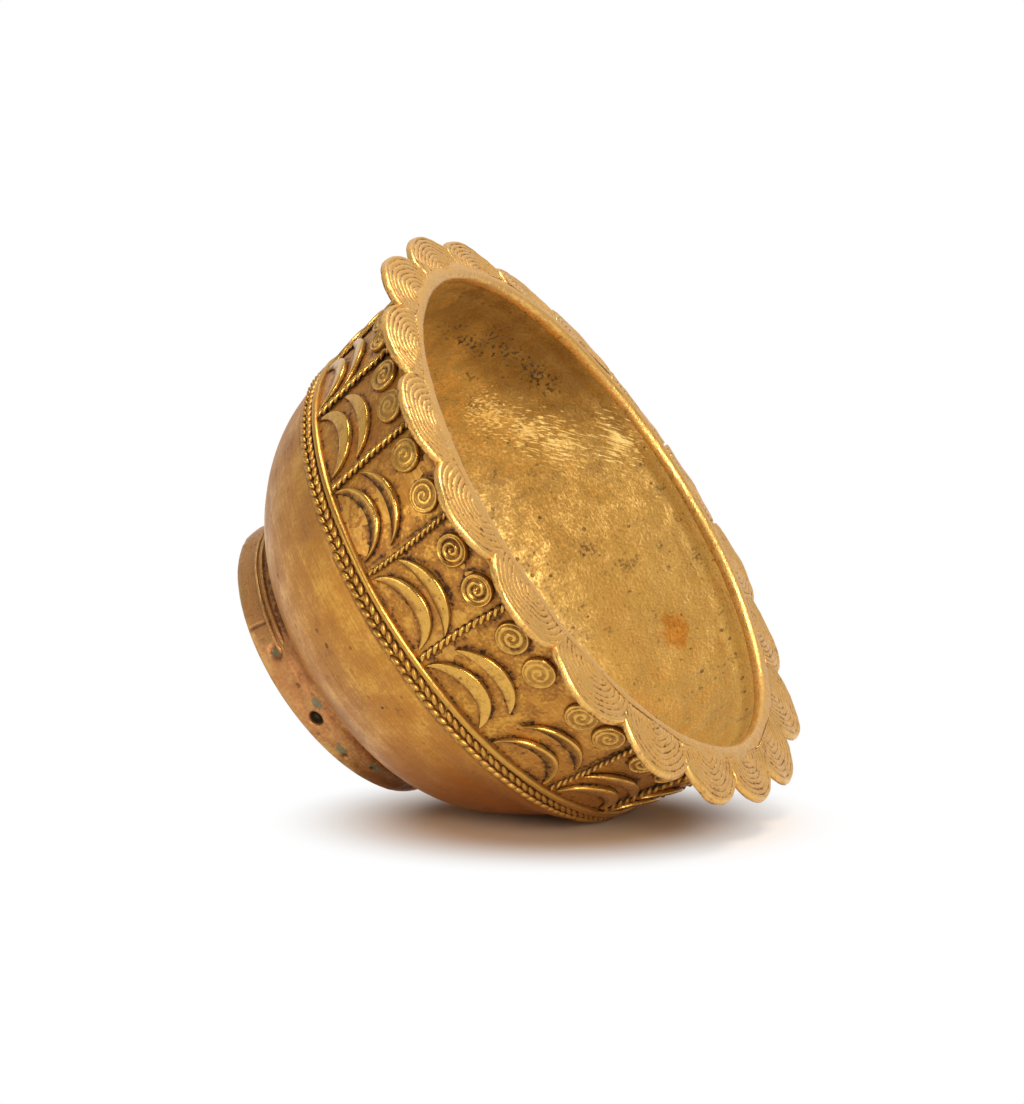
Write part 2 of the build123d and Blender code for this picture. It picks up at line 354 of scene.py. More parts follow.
def build_patina_group():
    group = bpy.data.node_groups.new("brass patina", "ShaderNodeTree")
    for label, value in patina_inputs.items():
        kind = "NodeSocketColor" if isinstance(value, tuple) else "NodeSocketFloat"
        group.interface.new_socket(label, in_out="INPUT", socket_type=kind).default_value = value
    for label in ("Colour", "Roughness", "Metal", "Height"):
        kind = "NodeSocketColor" if label == "Colour" else "NodeSocketFloat"
        group.interface.new_socket(label, in_out="OUTPUT", socket_type=kind)
    given = add_node(group, "NodeGroupInput")
    place = add_node(group, "ShaderNodeTexCoord")["Object"]

    def noise_over(vector, scale, detail):
        look = {"Vector": vector, "Scale": scale, "Detail": detail, "Roughness": 0.6}
        return add_node(group, "ShaderNodeTexNoise", look)["Fac"]

    def swing(value, reach):
        """Noise moved to run from minus to plus half of reach."""
        return calculate(group, "MULTIPLY", calculate(group, "SUBTRACT", value, 0.5), reach)

    def times(first, second):
        return calculate(group, "MULTIPLY", first, second)

    def plus(first, second):
        return calculate(group, "ADD", first, second)

    def minus(first, second):
        return calculate(group, "SUBTRACT", first, second)

    level_lines = add_node(group, "ShaderNodeMapping", {"Vector": place, "Scale": scratch_stretch})[0]
    mottle = noise_over(place, given["Mottle scale"], 7.0)
    grain = noise_over(place, given["Grain scale"], 3.0)
    patches = ramp(group, noise_over(place, given["Tint scale"], 5.0), 0.38, 0.75)
    cells = add_node(group, "ShaderNodeTexVoronoi", {"Vector": place, "Scale": given["Pit scale"]})
    cell_chance = add_node(group, "ShaderNodeSeparateColor", {0: cells["Color"]})[0]
    pit_size = times(ramp(group, cell_chance, 0.5, 1.0), largest_pit)
    pit = times(calculate(group, "LESS_THAN", cells["Distance"], pit_size), given["Pits"])
    scratches = swing(noise_over(level_lines, 1.0, 4.0), given["Scratch"])
    uneven = plus(plus(swing(mottle, given["Mottle"]), swing(grain, given["Grain"])), scratches)
    worn = minus(plus(given["Crest"], uneven), pit)
    tinted = mix(group, times(patches, given["Tint amount"]), given["Ground"], given["Tint"])
    dull_colour = mix(group, ramp(group, worn, 0.05, 0.5), given["Grime"], tinted)
    add_node(group, "NodeGroupOutput", {
        "Colour": mix(group, ramp(group, worn, 0.5, 1.0), dull_colour, given["Bright"]),
        "Roughness": ramp(group, worn, 0.2, 1.0, given["Dull"], given["Shiny"]),
        "Metal": ramp(group, worn, 0.3, 1.0, minus(1.0, given["Dust"]), 1.0),
        "Height": minus(plus(times(grain, 0.6), plus(mottle, scratches)), times(pit, 1.5)),
    })
    return group


patina_group = build_patina_group()
print("patina group", len(patina_group.nodes), "nodes")


# %% [markdown]
# ## One material for each finish
# The brass isn't the same all over: the belly is satin and scratched, the frieze's ground is dark and
# rough, the inside is dull, the rim is pale, the relief is polished and the foot is worn and reddish.
# Each of these finishes is a Principled shader fed by the patina group. Values that are the same all
# over, such as the bump's strength, are set on the node's own sockets.

# %% The finishes
BUMP_HEIGHT = 0.0004


def colour(red, green, blue):
    return (red, green, blue, 1.0)


def brass(name, bright, ground, grime, tint, bump=0.15, **settings):
    """A brass finish; settings are inputs of the patina group, with underscores for spaces."""
    material = bpy.data.materials.new(name)
    material.use_nodes = True
    tree = material.node_tree
    given = {"Crest": add_node(tree, "ShaderNodeAttribute", attribute_name="crest")["Fac"]}
    given.update(Bright=bright, Ground=ground, Grime=grime, Tint=tint)
    given.update({label.replace("_", " "): value for label, value in settings.items()})
    patina = add_node(tree, "ShaderNodeGroup", given, node_tree=patina_group)
    raised = {"Strength": bump, "Distance": BUMP_HEIGHT, "Height": patina["Height"]}
    fill_inputs(tree, tree.nodes["Principled BSDF"], {
        "Base Color": patina["Colour"],
        "Roughness": patina["Roughness"],
        "Metallic": patina["Metal"],
        "Normal": add_node(tree, "ShaderNodeBump", raised)["Normal"],
    })
    return material


# Dark brown for dirt and painted shade in the frieze's corners and at the foot of the relief
dirt_and_painted_shade = colour(0.050, 0.020, 0.005)
belly_finish = brass(
    "belly_satin", colour(0.71, 0.37, 0.074), colour(0.48, 0.208, 0.032), colour(0.12, 0.045, 0.010),
    colour(0.38, 0.17, 0.050), bump=0.15, Mottle_scale=95.0, Mottle=1.5, Grain=0.6, Dull=0.55, Shiny=0.34,
    Scratch=0.6, Pit_scale=260.0, Pits=0.25, Tint_amount=0.8, Dust=0.25)
ground_finish = brass(
    "frieze_ground", colour(0.66, 0.335, 0.060), colour(0.37, 0.158, 0.022), dirt_and_painted_shade,
    colour(0.36, 0.135, 0.036), bump=0.5, Mottle_scale=260.0, Mottle=1.3, Grain=1.2, Dull=0.60, Shiny=0.34,
    Pit_scale=330.0, Pits=0.4, Tint_amount=0.8, Tint_scale=90.0, Dust=0.4)
inside_finish = brass(
    "inside_worn", colour(0.76, 0.49, 0.150), colour(0.47, 0.270, 0.052), colour(0.15, 0.072, 0.009),
    colour(0.40, 0.24, 0.062), bump=0.8, Mottle_scale=190.0, Mottle=1.7, Grain=1.5, Dull=0.64, Shiny=0.48,
    Scratch=0.2, Pit_scale=340.0, Pits=0.5, Tint_amount=0.9, Tint_scale=60.0, Dust=0.72)
rim_finish = brass(
    "rim_pale", colour(0.82, 0.475, 0.130), colour(0.57, 0.300, 0.068), colour(0.14, 0.060, 0.011),
    colour(0.52, 0.30, 0.10), bump=0.5, Mottle_scale=300.0, Mottle=1.3, Grain=1.4, Dull=0.56, Shiny=0.28,
    Pit_scale=500.0, Pits=0.25, Tint_amount=0.8, Tint_scale=120.0, Dust=0.45)
relief_finish = brass(
    "relief_polished", colour(0.72, 0.39, 0.078), colour(0.38, 0.18, 0.030), dirt_and_painted_shade,
    colour(0.38, 0.20, 0.04), bump=0.3, Mottle_scale=330.0, Mottle=1.1, Grain=0.9, Dull=0.58, Shiny=0.18,
    Pit_scale=420.0, Pits=0.35, Tint_amount=0.6, Tint_scale=120.0, Dust=0.3)
cord_finish = brass(
    "cord_polished", colour(0.58, 0.300, 0.056), colour(0.36, 0.160, 0.025), colour(0.10, 0.040, 0.009),
    colour(0.42, 0.20, 0.04), bump=0.2, Mottle_scale=330.0, Mottle=0.9, Grain=0.5, Dull=0.6, Shiny=0.32,
    Pit_scale=500.0, Pits=0.2, Tint_amount=0.5, Dust=0.3)
foot_finish = brass(
    "foot_worn", colour(0.58, 0.33, 0.110), colour(0.42, 0.195, 0.058), colour(0.10, 0.045, 0.014),
    colour(0.48, 0.19, 0.070), bump=0.5, Mottle_scale=170.0, Mottle=1.6, Grain=1.3, Dull=0.60, Shiny=0.36,
    Scratch=0.6, Pit_scale=420.0, Pits=0.35, Tint_amount=0.9, Tint_scale=35.0, Dust=0.35)
print("finishes", [m.name for m in bpy.data.materials if m.use_nodes])

# %% [markdown]
# ## Stains and painted light
# Single marks stand at their own places: inside, dark stains mixed with painted shade near the lip,
# black flecks, painted gold highlights and a rust spot; on the belly, warm painted shade on its side
# near the floor; on the foot, painted shade at its lower end near the floor, reddish, brown and green
# spots, and dirt and painted shade in its casting hole. They could be painted on an image texture.
# Here a mark is the distance to its place, broken up by noise and mixed into the finish's colour, so it
# needs no image and can be moved by three numbers.

# %% Stains and painted light at their places
streak_length = 9.0


def stain_and_painted_light(material, centre, reach, tone, amount, break_up, strength=1.6, edge=0.2, sparse=0.0, along=None):
    """Mixes a soft spot into a finish: centre and reach in millimetres, noise that may run one way."""
    tree = material.node_tree
    base = tree.nodes["Principled BSDF"].inputs["Base Color"]
    place = add_node(tree, "ShaderNodeTexCoord")["Object"]
    away = distance_from(tree, place, [v * MM for v in centre], [v * MM for v in reach])
    drawn_out = {"Vector": place}
    if along:
        drawn_out["Rotation"] = Vector(along).to_track_quat("X", "Z").to_euler()
        drawn_out["Scale"] = (streak_length, 1.0, 1.0)
    noise_place = add_node(tree, "ShaderNodeMapping", drawn_out, vector_type="TEXTURE")[0]
    patchy = {"Vector": noise_place, "Scale": break_up, "Detail": 5.0}
    uneven = {0: add_node(tree, "ShaderNodeTexNoise", patchy)["Fac"], 1: strength, 2: away}
    total = add_node(tree, "ShaderNodeMath", uneven, operation="MULTIPLY_ADD")[0]
    middle = 0.5 * strength + 0.9 - sparse
    mask = ramp(tree, total, middle + edge, middle - edge, 0.0, amount)
    tree.links.new(mix(tree, mask, base.links[0].from_socket, tone), base)


brown, black, gold = colour(0.17, 0.072, 0.005), colour(0.035, 0.028, 0.016), colour(0.98, 0.74, 0.26)
rust, hole_dirt_and_shade = colour(0.44, 0.165, 0.010), colour(0.022, 0.020, 0.009)
foot_red, foot_painted_shade = colour(0.52, 0.215, 0.080), colour(0.20, 0.070, 0.008)
foot_brown = colour(0.27, 0.13, 0.04)
belly_warm_shade, verdigris = colour(0.42, 0.140, 0.008), colour(0.10, 0.16, 0.10)
streak_way = (0.748, 0.244, 0.617)
flecks = {"strength": 7.0, "edge": 0.4, "sparse": 1.0}
streaks = {"strength": 5.0, "edge": 0.3, "sparse": 0.6, "along": streak_way}
# Dark stains and painted shade inside, near the lip on the side away from the floor
for patch in ((-56, 30, 70), (-45, 45, 70), (-34, 55, 72)):
    stain_and_painted_light(inside_finish, patch, (22, 22, 13), brown, 0.62, 160.0, edge=0.75)
for patch in ((-55, 34, 62), (-46, 44, 66), (-36, 53, 66)):
    stain_and_painted_light(inside_finish, patch, (12, 12, 4), black, 0.8, 900.0, **flecks)
stain_and_painted_light(inside_finish, (38, 51, 59.5), (6, 6, 3.6), rust, 0.85, 260.0, edge=0.3)
# Painted highlights: bright gold streaks inside
for patch in ((-36, 51, 50), (-27, 57, 54), (-20, 60, 58), (-12, 63.5, 71)):
    stain_and_painted_light(inside_finish, patch, (9, 9, 7), gold, 0.9, 2200.0, **streaks)
# Painted shade on the foot's lower end, on the side that meets the floor
stain_and_painted_light(foot_finish, (31, -22, 2), (16, 16, 7), foot_painted_shade, 0.8, 300.0, edge=0.6)
stain_and_painted_light(foot_finish, (-36, -16, 5), (18, 18, 8), foot_brown, 0.3, 300.0, edge=0.6)
stain_and_painted_light(foot_finish, (-4, -38, 5), (16, 14, 7), foot_red, 0.42, 260.0, edge=0.7)
# Dirt and painted shade in the casting hole
stain_and_painted_light(foot_finish, (4.7, -35.5, 3.9), (2.3, 3.0, 1.7), hole_dirt_and_shade, 0.9, 300.0, strength=0.6)
# Warm painted shade on the belly's side near the floor
stain_and_painted_light(belly_finish, (47, -37, 28), (30, 30, 17), belly_warm_shade, 0.85, 120.0, edge=0.7)
for spot in ((-14, -37, 4), (2, -37, 6.5), (14, -33, 3), (22, -27, 5)):
    stain_and_painted_light(foot_finish, spot, (2.0, 2.0, 1.0), verdigris, 0.7, 700.0)
print("nodes of the stained foot", len(foot_finish.node_tree.nodes))

# %% [markdown]
# ## Where the ornaments lie
# The frieze is divided into panels. Each has a small crescent, a larger one above it, and two discs.
# The same numbers place the ornaments and darken the ground beside them with dirt and painted shade,
# so a moved ornament takes both along.

# %% Places on the frieze
panels, panel_phase, missing_divider = 18, 15.5, 15
panel_angle = 360.0 / panels
wire_edge, fine_wire_edge = 6.3, 34.4
inner_tips, inner_rise, inner_depth, inner_room = 6.9, 8.8, 3.7, 4.2
outer_tips, outer_rise, outer_depth, outer_room = 15.3, 7.0, 3.5, 3.4
disc_centre, disc_radius, disc_apart = 28.8, 3.9, 2.0
inner_span = TAU * on_wall(inner_tips)[0] / panels - inner_room
outer_span = TAU * on_wall(outer_tips)[0] / panels - outer_room
inner_crescent = (inner_tips, inner_span, inner_rise, inner_depth)
outer_crescent = (outer_tips, outer_span, outer_rise, outer_depth)
disc_offset = disc_radius + disc_apart / 2
print("crescent spans", round(inner_span, 2), round(outer_span, 2))


def arc_through_tips(span, rise, count):
    """Points of an arc between two tips on a level line, rising so far between them."""
    radius = (span**2 / 4 + rise**2) / (2 * rise)
    half = math.asin(min(1.0, span / 2 / radius))
    if rise > radius:
        half = math.pi - half
    turn = np.linspace(-half, half, count)
    return radius * np.sin(turn), radius * np.cos(turn) - radius + rise


# %% Edges of the ornaments in a panel
rope_half_width, wire_overlap, widest_half_panel = 1.0, 0.1, 12.0


def ornament_outline(ropes):
    """A search tree of the edges of everything laid in one panel, as distance across and up the slope."""
    outline = []
    for tips, span, rise, depth in (inner_crescent, outer_crescent):
        for height in (rise, rise - depth):
            across, up = arc_through_tips(span, height, 60)
            outline += list(zip(across, up + tips))
    for side in (-disc_offset, disc_offset):
        for turn in np.linspace(0, TAU, 36, endpoint=False):
            outline.append((side + disc_radius * math.cos(turn), disc_centre + disc_radius * math.sin(turn)))
    if ropes:
        for up in np.arange(wire_edge, fine_wire_edge, 0.4):
            rope_edge = math.pi * on_wall(up)[0] / panels - rope_half_width
            outline += [(-rope_edge, up), (rope_edge, up)]
    for across in np.arange(-widest_half_panel, widest_half_panel, 0.5):
        for up in (wire_edge + wire_overlap, fine_wire_edge - wire_overlap, frieze_length):
            outline.append((across, up))
    tree = kdtree.KDTree(len(outline))
    for number, (across, up) in enumerate(outline):
        tree.insert((across, up, 0.0), number)
    tree.balance()
    return tree


disc_edge_distance = ornament_outline(True).find((0.0, disc_centre, 0.0))[2]
print("from a panel's middle to the nearest disc", round(disc_edge_distance, 2), "mm")


# %% [markdown]
# ## The bowl's wall
# The wall is one closed lathe: up the outside from the middle of the base, over the top edge and down
# the inside. A profile curve with a Screw modifier would give the same turned shape. A grid was chosen
# because a hand-made casting is never quite even: every point is pushed along its normal by noise,
# first broad waves, then small lumps, stronger inside than on the rubbed belly. Inside, a shallow
# groove shows where the lip was joined on, and on one side the whole belly is a little flatter.

# %% Profile of the wall
def belly_circle():
    """Centre and radius of the belly's outer arc."""
    chord = np.array([belly_radius - crease_radius, belly_height - crease_height])
    length = np.hypot(*chord)
    outward = np.array([chord[1], -chord[0]]) / length
    radius = length**2 / (8 * belly_bulge) + belly_bulge / 2
    middle = np.array([belly_radius + crease_radius, belly_height + crease_height]) / 2
    return middle + outward * (belly_bulge - radius), radius


belly_centre, belly_arc_radius = belly_circle()
start_way = np.array([crease_radius, crease_height]) - belly_centre
end_way = np.array([belly_radius, belly_height]) - belly_centre
start_angle = math.atan2(start_way[1], start_way[0])
end_angle = math.atan2(end_way[1], end_way[0])
base_centre = crease_height - start_way[1] / start_way[0] * crease_radius
base_arc_radius = math.hypot(crease_radius, base_centre - crease_height)


def belly_height_at(radius):
    """Height of the bowl's outer surface over a radius below the frieze."""
    on_base = base_centre - np.sqrt(base_arc_radius**2 - np.minimum(radius, crease_radius) ** 2)
    beside = np.clip(radius - belly_centre[0], 0.0, belly_arc_radius)
    on_belly = belly_centre[1] - np.sqrt(belly_arc_radius**2 - beside**2)
    return np.where(radius < crease_radius, on_base, on_belly)


inside_drop, inside_limit, inside_bend = 2.2, mouth_radius - 0.05, 0.3


def wall_line(inset, base_steps, belly_steps, frieze_steps):
    """Radius and height along the wall, from the axis to the top, at a depth inside the outer surface."""
    swing = np.linspace(0.0, math.asin(crease_radius / base_arc_radius), base_steps, endpoint=False)
    reach = base_arc_radius - inset
    base = np.stack([reach * np.sin(swing), base_centre - reach * np.cos(swing)], -1)
    turn = np.linspace(start_angle, end_angle, belly_steps, endpoint=False)
    reach = belly_arc_radius - inset
    belly = belly_centre + reach * np.stack([np.cos(turn), np.sin(turn)], -1)
    top = mouth_height - inside_drop if inset else collar_seat
    top_up = (top - belly_height - inset * math.sin(flare)) / math.cos(flare)
    frieze = np.stack(on_wall(np.linspace(inset * math.tan(flare), top_up, frieze_steps), -inset), -1)
    if inset:
        past_limit = frieze[:, 0] - inside_limit
        frieze[:, 0] -= 0.5 * (past_limit + np.hypot(past_limit, inside_bend))
    return np.concatenate([base, belly, frieze])


outer_rows, inner_rows = (10, 44, 12), (16, 48, 44)
wall_profile = np.concatenate([wall_line(0.0, *outer_rows), wall_line(wall, *inner_rows)[::-1]])
print("wall profile points", len(wall_profile))

# %% Unevenness of the wall
WALL_COLUMNS = 440
wave_size, wave_height = 22.0, 0.16
lump_size, lump_inside, lump_outside = 7.0, 0.22, 0.05
grain_size, grain_inside, grain_outside = 2.6, 0.075, 0.018
groove_drop, groove_half_width, groove_depth = 6.6, 1.7, 0.35
wall_points = lathe(wall_profile, WALL_COLUMNS)
wall_normals = lathe_normals(wall_profile, WALL_COLUMNS)
row_of = np.repeat(np.arange(len(wall_profile)), WALL_COLUMNS)
is_inside = row_of >= sum(outer_rows)
push = rough(wall_points, wave_size, wave_height, seed=3.0)
push += rough(wall_points, lump_size, 1.0, seed=12.0) * np.where(is_inside, lump_inside, lump_outside)
push += rough(wall_points, grain_size, 1.0, seed=8.0) * np.where(is_inside, grain_inside, grain_outside)
push *= smooth_step(mouth_height - wall_points[:, 2], 2.0, 6.0)
groove_line = bell(wall_points[:, 2], mouth_height - groove_drop, groove_half_width)
groove = np.where(is_inside, groove_line, 0.0)
push -= groove_depth * groove
print("wall points", len(wall_points), "pushed by up to", round(float(np.abs(push).max()), 2), "mm")

# %% Flatter side and mesh of the wall
flat_angle, flat_reach, flat_depth = -22.0, 75.0, 3.0
flat_start, flat_full, flat_end, flat_fade = 9.0, 27.0, 41.5, 9.0
# Painted shade: the crest, and with it the colour, is lowered along the groove under the lip
wall_crest, groove_painted_shade = 0.62, 0.16
flat_turn = np.arctan2(wall_points[:, 1], wall_points[:, 0]) - math.radians(flat_angle)
near_flat = np.abs(flat_turn) < math.radians(flat_reach)
flat_side = np.maximum(0.0, np.cos(flat_turn * (90.0 / flat_reach))) ** 2 * near_flat
flat_belt = smooth_step(wall_points[:, 2], flat_start, flat_full)
flat_belt *= smooth_step(flat_end - wall_points[:, 2], 0.0, flat_fade)
push += flat_depth * flat_side * flat_belt * np.where(is_inside, 1.0, -1.0)
off_axis = np.hypot(wall_points[:, 0], wall_points[:, 1]) > 1.0
wall_points = wall_points + wall_normals * np.where(off_axis, push, 0.0)[:, None]
wall_faces = grid_faces(len(wall_profile), WALL_COLUMNS, loop_columns=True)
bowl_wall = make_mesh("bowl_wall_cast", wall_points, wall_faces, wall_crest - groove_painted_shade * groove)
bowl_wall.data.materials.append(belly_finish)
bowl_wall.data.materials.append(inside_finish)
face_row = np.arange(len(bowl_wall.data.polygons)) // WALL_COLUMNS
bowl_wall.data.polygons.foreach_set("material_index", (face_row >= sum(outer_rows)).astype(np.int32))
finish_piece(bowl_wall, belly_finish, "wall_brass", "bowl_wall")

# %% [markdown]
# ## The ground of the frieze
# The ornaments stand on a rough dark ground. It could be part of the wall, but the dirt and painted
# shade beside the ornaments make narrow dark lines that need a much finer grid than the rest. So it is
# a thin closed band on the wall. The distance to the nearest ornament's edge says how dark each point
# is painted, darkest just above an ornament.

# %% Dirt and painted shade on the frieze's ground
# Painted shade and dirt: the ground is darker near each ornament's edge and darkest just above it
ground_crest_least, ground_crest_most, dirt_and_shade_reach, dirt_and_shade_fall, dirt_and_shade_above = 0.12, 0.66, 0.55, 1.3, 0.25


def ground_crest(points):
    """Crest of the ground, for dirt and painted shade: low beside the ornaments, lowest just above them."""
    with_ropes, without_rope = ornament_outline(True), ornament_outline(False)
    angle = np.degrees(np.arctan2(points[:, 1], points[:, 0])) - panel_phase
    off_middle = (angle % panel_angle) - panel_angle / 2
    from_missing = (angle - (missing_divider - 1) * panel_angle + 180.0) % 360.0 - 180.0
    up = (points[:, 2] - belly_height) / math.cos(flare)
    across = np.radians(off_middle) * on_wall(up)[0]
    crest = []
    for number in range(len(points)):
        tree = without_rope if abs(from_missing[number]) < panel_angle / 2 else with_ropes
        away = tree.find((across[number], up[number] - dirt_and_shade_above, 0.0))[2]
        crest_part = 1 - math.exp(-((away / dirt_and_shade_reach) ** dirt_and_shade_fall))
        crest.append(ground_crest_least + (ground_crest_most - ground_crest_least) * crest_part)
    return np.array(crest)


# %% Mesh of the frieze's ground
GROUND_COLUMNS, GROUND_ROWS = 1100, 68
ground_lift, ground_sink, hidden_crest = 0.06, 1.2, 0.3
up_steps = np.linspace(-0.3, frieze_length + 0.1, GROUND_ROWS)
inner_edge = np.stack(on_wall(up_steps[[-1, 0]], -ground_sink), -1)
band = np.concatenate([np.stack(on_wall(up_steps, ground_lift), -1), inner_edge])
ground_points = lathe(band, GROUND_COLUMNS)
shown = np.repeat(np.arange(len(band)), GROUND_COLUMNS) < GROUND_ROWS
ground_push = rough(ground_points, 4.0, 0.16, seed=8.0) + rough(ground_points, 1.4, 0.07, seed=4.0)
# The ground's crest holds dirt and painted shade beside the ornaments
ground_dirt_and_shade = np.full(len(ground_points), hidden_crest)
ground_dirt_and_shade[shown] = ground_crest(ground_points[shown])
ground_push = np.where(shown, ground_push, 0.0)[:, None]
ground_points = ground_points + lathe_normals(band, GROUND_COLUMNS) * ground_push
ground_faces = grid_faces(len(band), GROUND_COLUMNS, loop_rows=True, loop_columns=True)
ground = make_mesh("frieze_ground", ground_points, ground_faces, ground_dirt_and_shade)
finish_piece(ground, ground_finish, "wall_brass", "bowl_wall")

# %% [markdown]
# ## The foot
# The foot is a low splayed ring, set off the bowl's axis as its maker left it. A plain lathe would
# leave a gap where it meets the round belly, so each of its rows is worked out by itself, and the upper
# edge runs a little into the belly all round. On the worn side its neck is filled out and joins the
# belly smoothly. A casting hole, a seam and small pits are dents: points near their place are pushed
# inwards.

# %% Rows of the foot
FOOT_COLUMNS = 560
foot_low, foot_high = node_box("foot_ring")
foot_shift = -1.6
foot_axis = (foot_low[0] + foot_high[0]) / 2 + foot_shift
foot_radius, foot_neck, foot_wall = (foot_high[0] - foot_low[0]) / 2, 36.4, 4.4
neck_start, neck_end, belly_overlap = 6.4, 9.0, 0.9
bevel_width, bevel_height, splay_height = 0.7, 0.8, 5.4
worn_angle, worn_far, worn_near = -62.0, 52.0, 36.0
worn_fill, worn_fill_height, worn_fill_half = 1.1, 6.2, 2.2
foot_turn = np.linspace(0.0, TAU, FOOT_COLUMNS, endpoint=False)


def foot_side(height):
    """Radius of the foot's outer side at a height."""
    bevel = bevel_width * np.clip(1.0 - height / bevel_height, 0.0, 1.0) ** 2
    splay = np.clip((neck_start + 0.8 - height) / splay_height, 0.0, 1.0) ** 0.9
    return foot_neck + (foot_radius - foot_neck) * splay - bevel


def foot_row(radius, height):
    """One ring of the foot's points."""
    x, y = foot_axis + radius * np.cos(foot_turn), radius * np.sin(foot_turn)
    return np.stack([x, y, height * np.ones(FOOT_COLUMNS)], -1)


from_worn_angle = np.cos(foot_turn - math.radians(worn_angle))
worn_side = smooth_step(from_worn_angle, math.cos(math.radians(worn_far)), math.cos(math.radians(worn_near)))
seat_radius = np.hypot(foot_axis + foot_neck * np.cos(foot_turn), foot_neck * np.sin(foot_turn))
seat_height = belly_height_at(seat_radius) + belly_overlap
side_rows, neck_rows = np.linspace(0.8, neck_start, 20), np.linspace(neck_start + 0.4, neck_end, 8)
foot_rows, foot_dirt = [], []
for height in (0.0, 0.12, 0.4, *side_rows, *neck_rows):
    up_neck = max(0.0, (height - neck_start) / (neck_end - neck_start))
    fill = worn_fill * worn_side * bell(height, worn_fill_height, worn_fill_half)
    row_height = min(height, neck_start) + (seat_height - neck_start) * up_neck
    foot_rows.append(foot_row(foot_side(height) + fill, row_height))
    rubbed_edge = 0.25 * bell(height, 1.0, 0.8)
    dark_corner = 0.38 * (1 - worn_side) * bell(height, 8.0, 1.0)
    foot_dirt.append(0.60 + rubbed_edge - dark_corner)
for height in (seat_height, 3.0, 0.0):
    foot_rows.append(foot_row(foot_radius - foot_wall, height))
    foot_dirt.append(np.full(FOOT_COLUMNS, 0.35))
foot_points, foot_crest = np.concatenate(foot_rows), np.concatenate(foot_dirt)
print("foot rows", len(foot_rows), "axis at", round(foot_axis, 2))

# %% Dents in the foot
# Each flaw has its angle in degrees and, in millimetres, its height, half width, half height and depth
foot_flaws = {
    "casting hole": (-76.4, 3.9, 1.9, 1.35, 2.2),
    "worn hollow": (-104.5, 4.6, 2.4, 1.6, 0.9),
    "seam": (-116.7, 2.6, 0.45, 3.4, 0.35),
    "first pit": (-58.0, 2.4, 0.8, 0.6, 0.5),
    "second pit": (-90.0, 5.2, 0.7, 0.6, 0.5),
    "third pit": (-46.0, 4.4, 1.0, 0.6, 0.5),
}
flaw_dirt = 0.62


def dent(angle, height, half_wide, half_high):
    """1 in the middle of a place on the foot, 0 away from it."""
    around = np.arctan2(foot_points[:, 1], foot_points[:, 0] - foot_axis) - math.radians(angle)
    across = (np.mod(around + math.pi, TAU) - math.pi) * foot_radius
    away = np.hypot(across / half_wide, (foot_points[:, 2] - height) / half_high)
    return 1.0 - smooth_step(away, 0.55, 1.15)


outward = foot_points * (1, 1, 0) - (foot_axis, 0, 0)
outward /= np.linalg.norm(outward, axis=1, keepdims=True)
uneven = rough(foot_points, 9.0, 0.34, seed=21.0)
uneven += rough(foot_points, 2.4, 0.12, seed=5.0)
uneven += rough(foot_points, 1.1, 0.05, seed=9.0)
for *place, depth in foot_flaws.values():
    cut = dent(*place)
    uneven -= depth * cut
    foot_crest -= flaw_dirt * cut
above_table = smooth_step(foot_points[:, 2], 0.05, 0.8)
foot_points = foot_points + outward * (uneven * above_table)[:, None]
foot_faces = grid_faces(len(foot_rows), FOOT_COLUMNS, loop_rows=True, loop_columns=True)
foot = make_mesh("foot_ring_cast", foot_points, foot_faces, np.clip(foot_crest, 0.0, 1.0))
finish_piece(foot, foot_finish, "foot_brass", "foot_ring")


# %% [markdown]
# ## Threads and wires
# A thread bent round the bowl is a small round section carried round the axis. A bevelled curve circle
# would be even all round; a grid lets the thread's middle wander a little, as a soft wax thread does.
# The foot's threads are beaded, and they have worn away on one side: there the section sinks into the
# foot.

# %% Rings of thread
THREAD_COLUMNS, THREAD_SIDES = 720, 12
thread_drift, thread_waver, bead_depth = 0.16, 0.1, 0.22
thread_turn = np.linspace(0.0, TAU, THREAD_COLUMNS, endpoint=False)
print("a thread has", THREAD_COLUMNS * THREAD_SIDES, "points")


def thread_ring(name, centre_of, half_width, half_height, lean, seed, axis=0.0, sunk=0.0, beads=0):
    """A closed thread: centre_of gives its radius and height, lean turns its section with the surface."""
    ring = [Vector((math.cos(a), math.sin(a), seed)) for a in thread_turn]
    drift = np.array([noise.noise(place * 3.0) for place in ring]) * thread_drift
    waver = np.array([noise.noise(place * 14.0) for place in ring]) * thread_waver
    notch = 1.0 - bead_depth * (0.5 + 0.5 * np.cos(thread_turn * beads)) * (beads > 0)
    rows, crest = [], []
    for a in np.linspace(0.0, TAU, THREAD_SIDES, endpoint=False):
        up, out = half_width * math.sin(a), half_height * math.cos(a) * notch
        radius = centre_of[0] + out * math.cos(lean) + up * math.sin(lean) + waver - sunk
        height = centre_of[1] - out * math.sin(lean) + up * math.cos(lean) + drift
        rows.append(np.stack([axis + radius * np.cos(thread_turn), radius * np.sin(thread_turn), height], -1))
        crest.append(0.5 + 0.5 * math.cos(a) - 0.9 * (1.0 - notch))
    faces = grid_faces(THREAD_SIDES, THREAD_COLUMNS, loop_rows=True, loop_columns=True)
    return make_mesh(name, np.concatenate(rows), faces, np.concatenate(crest))


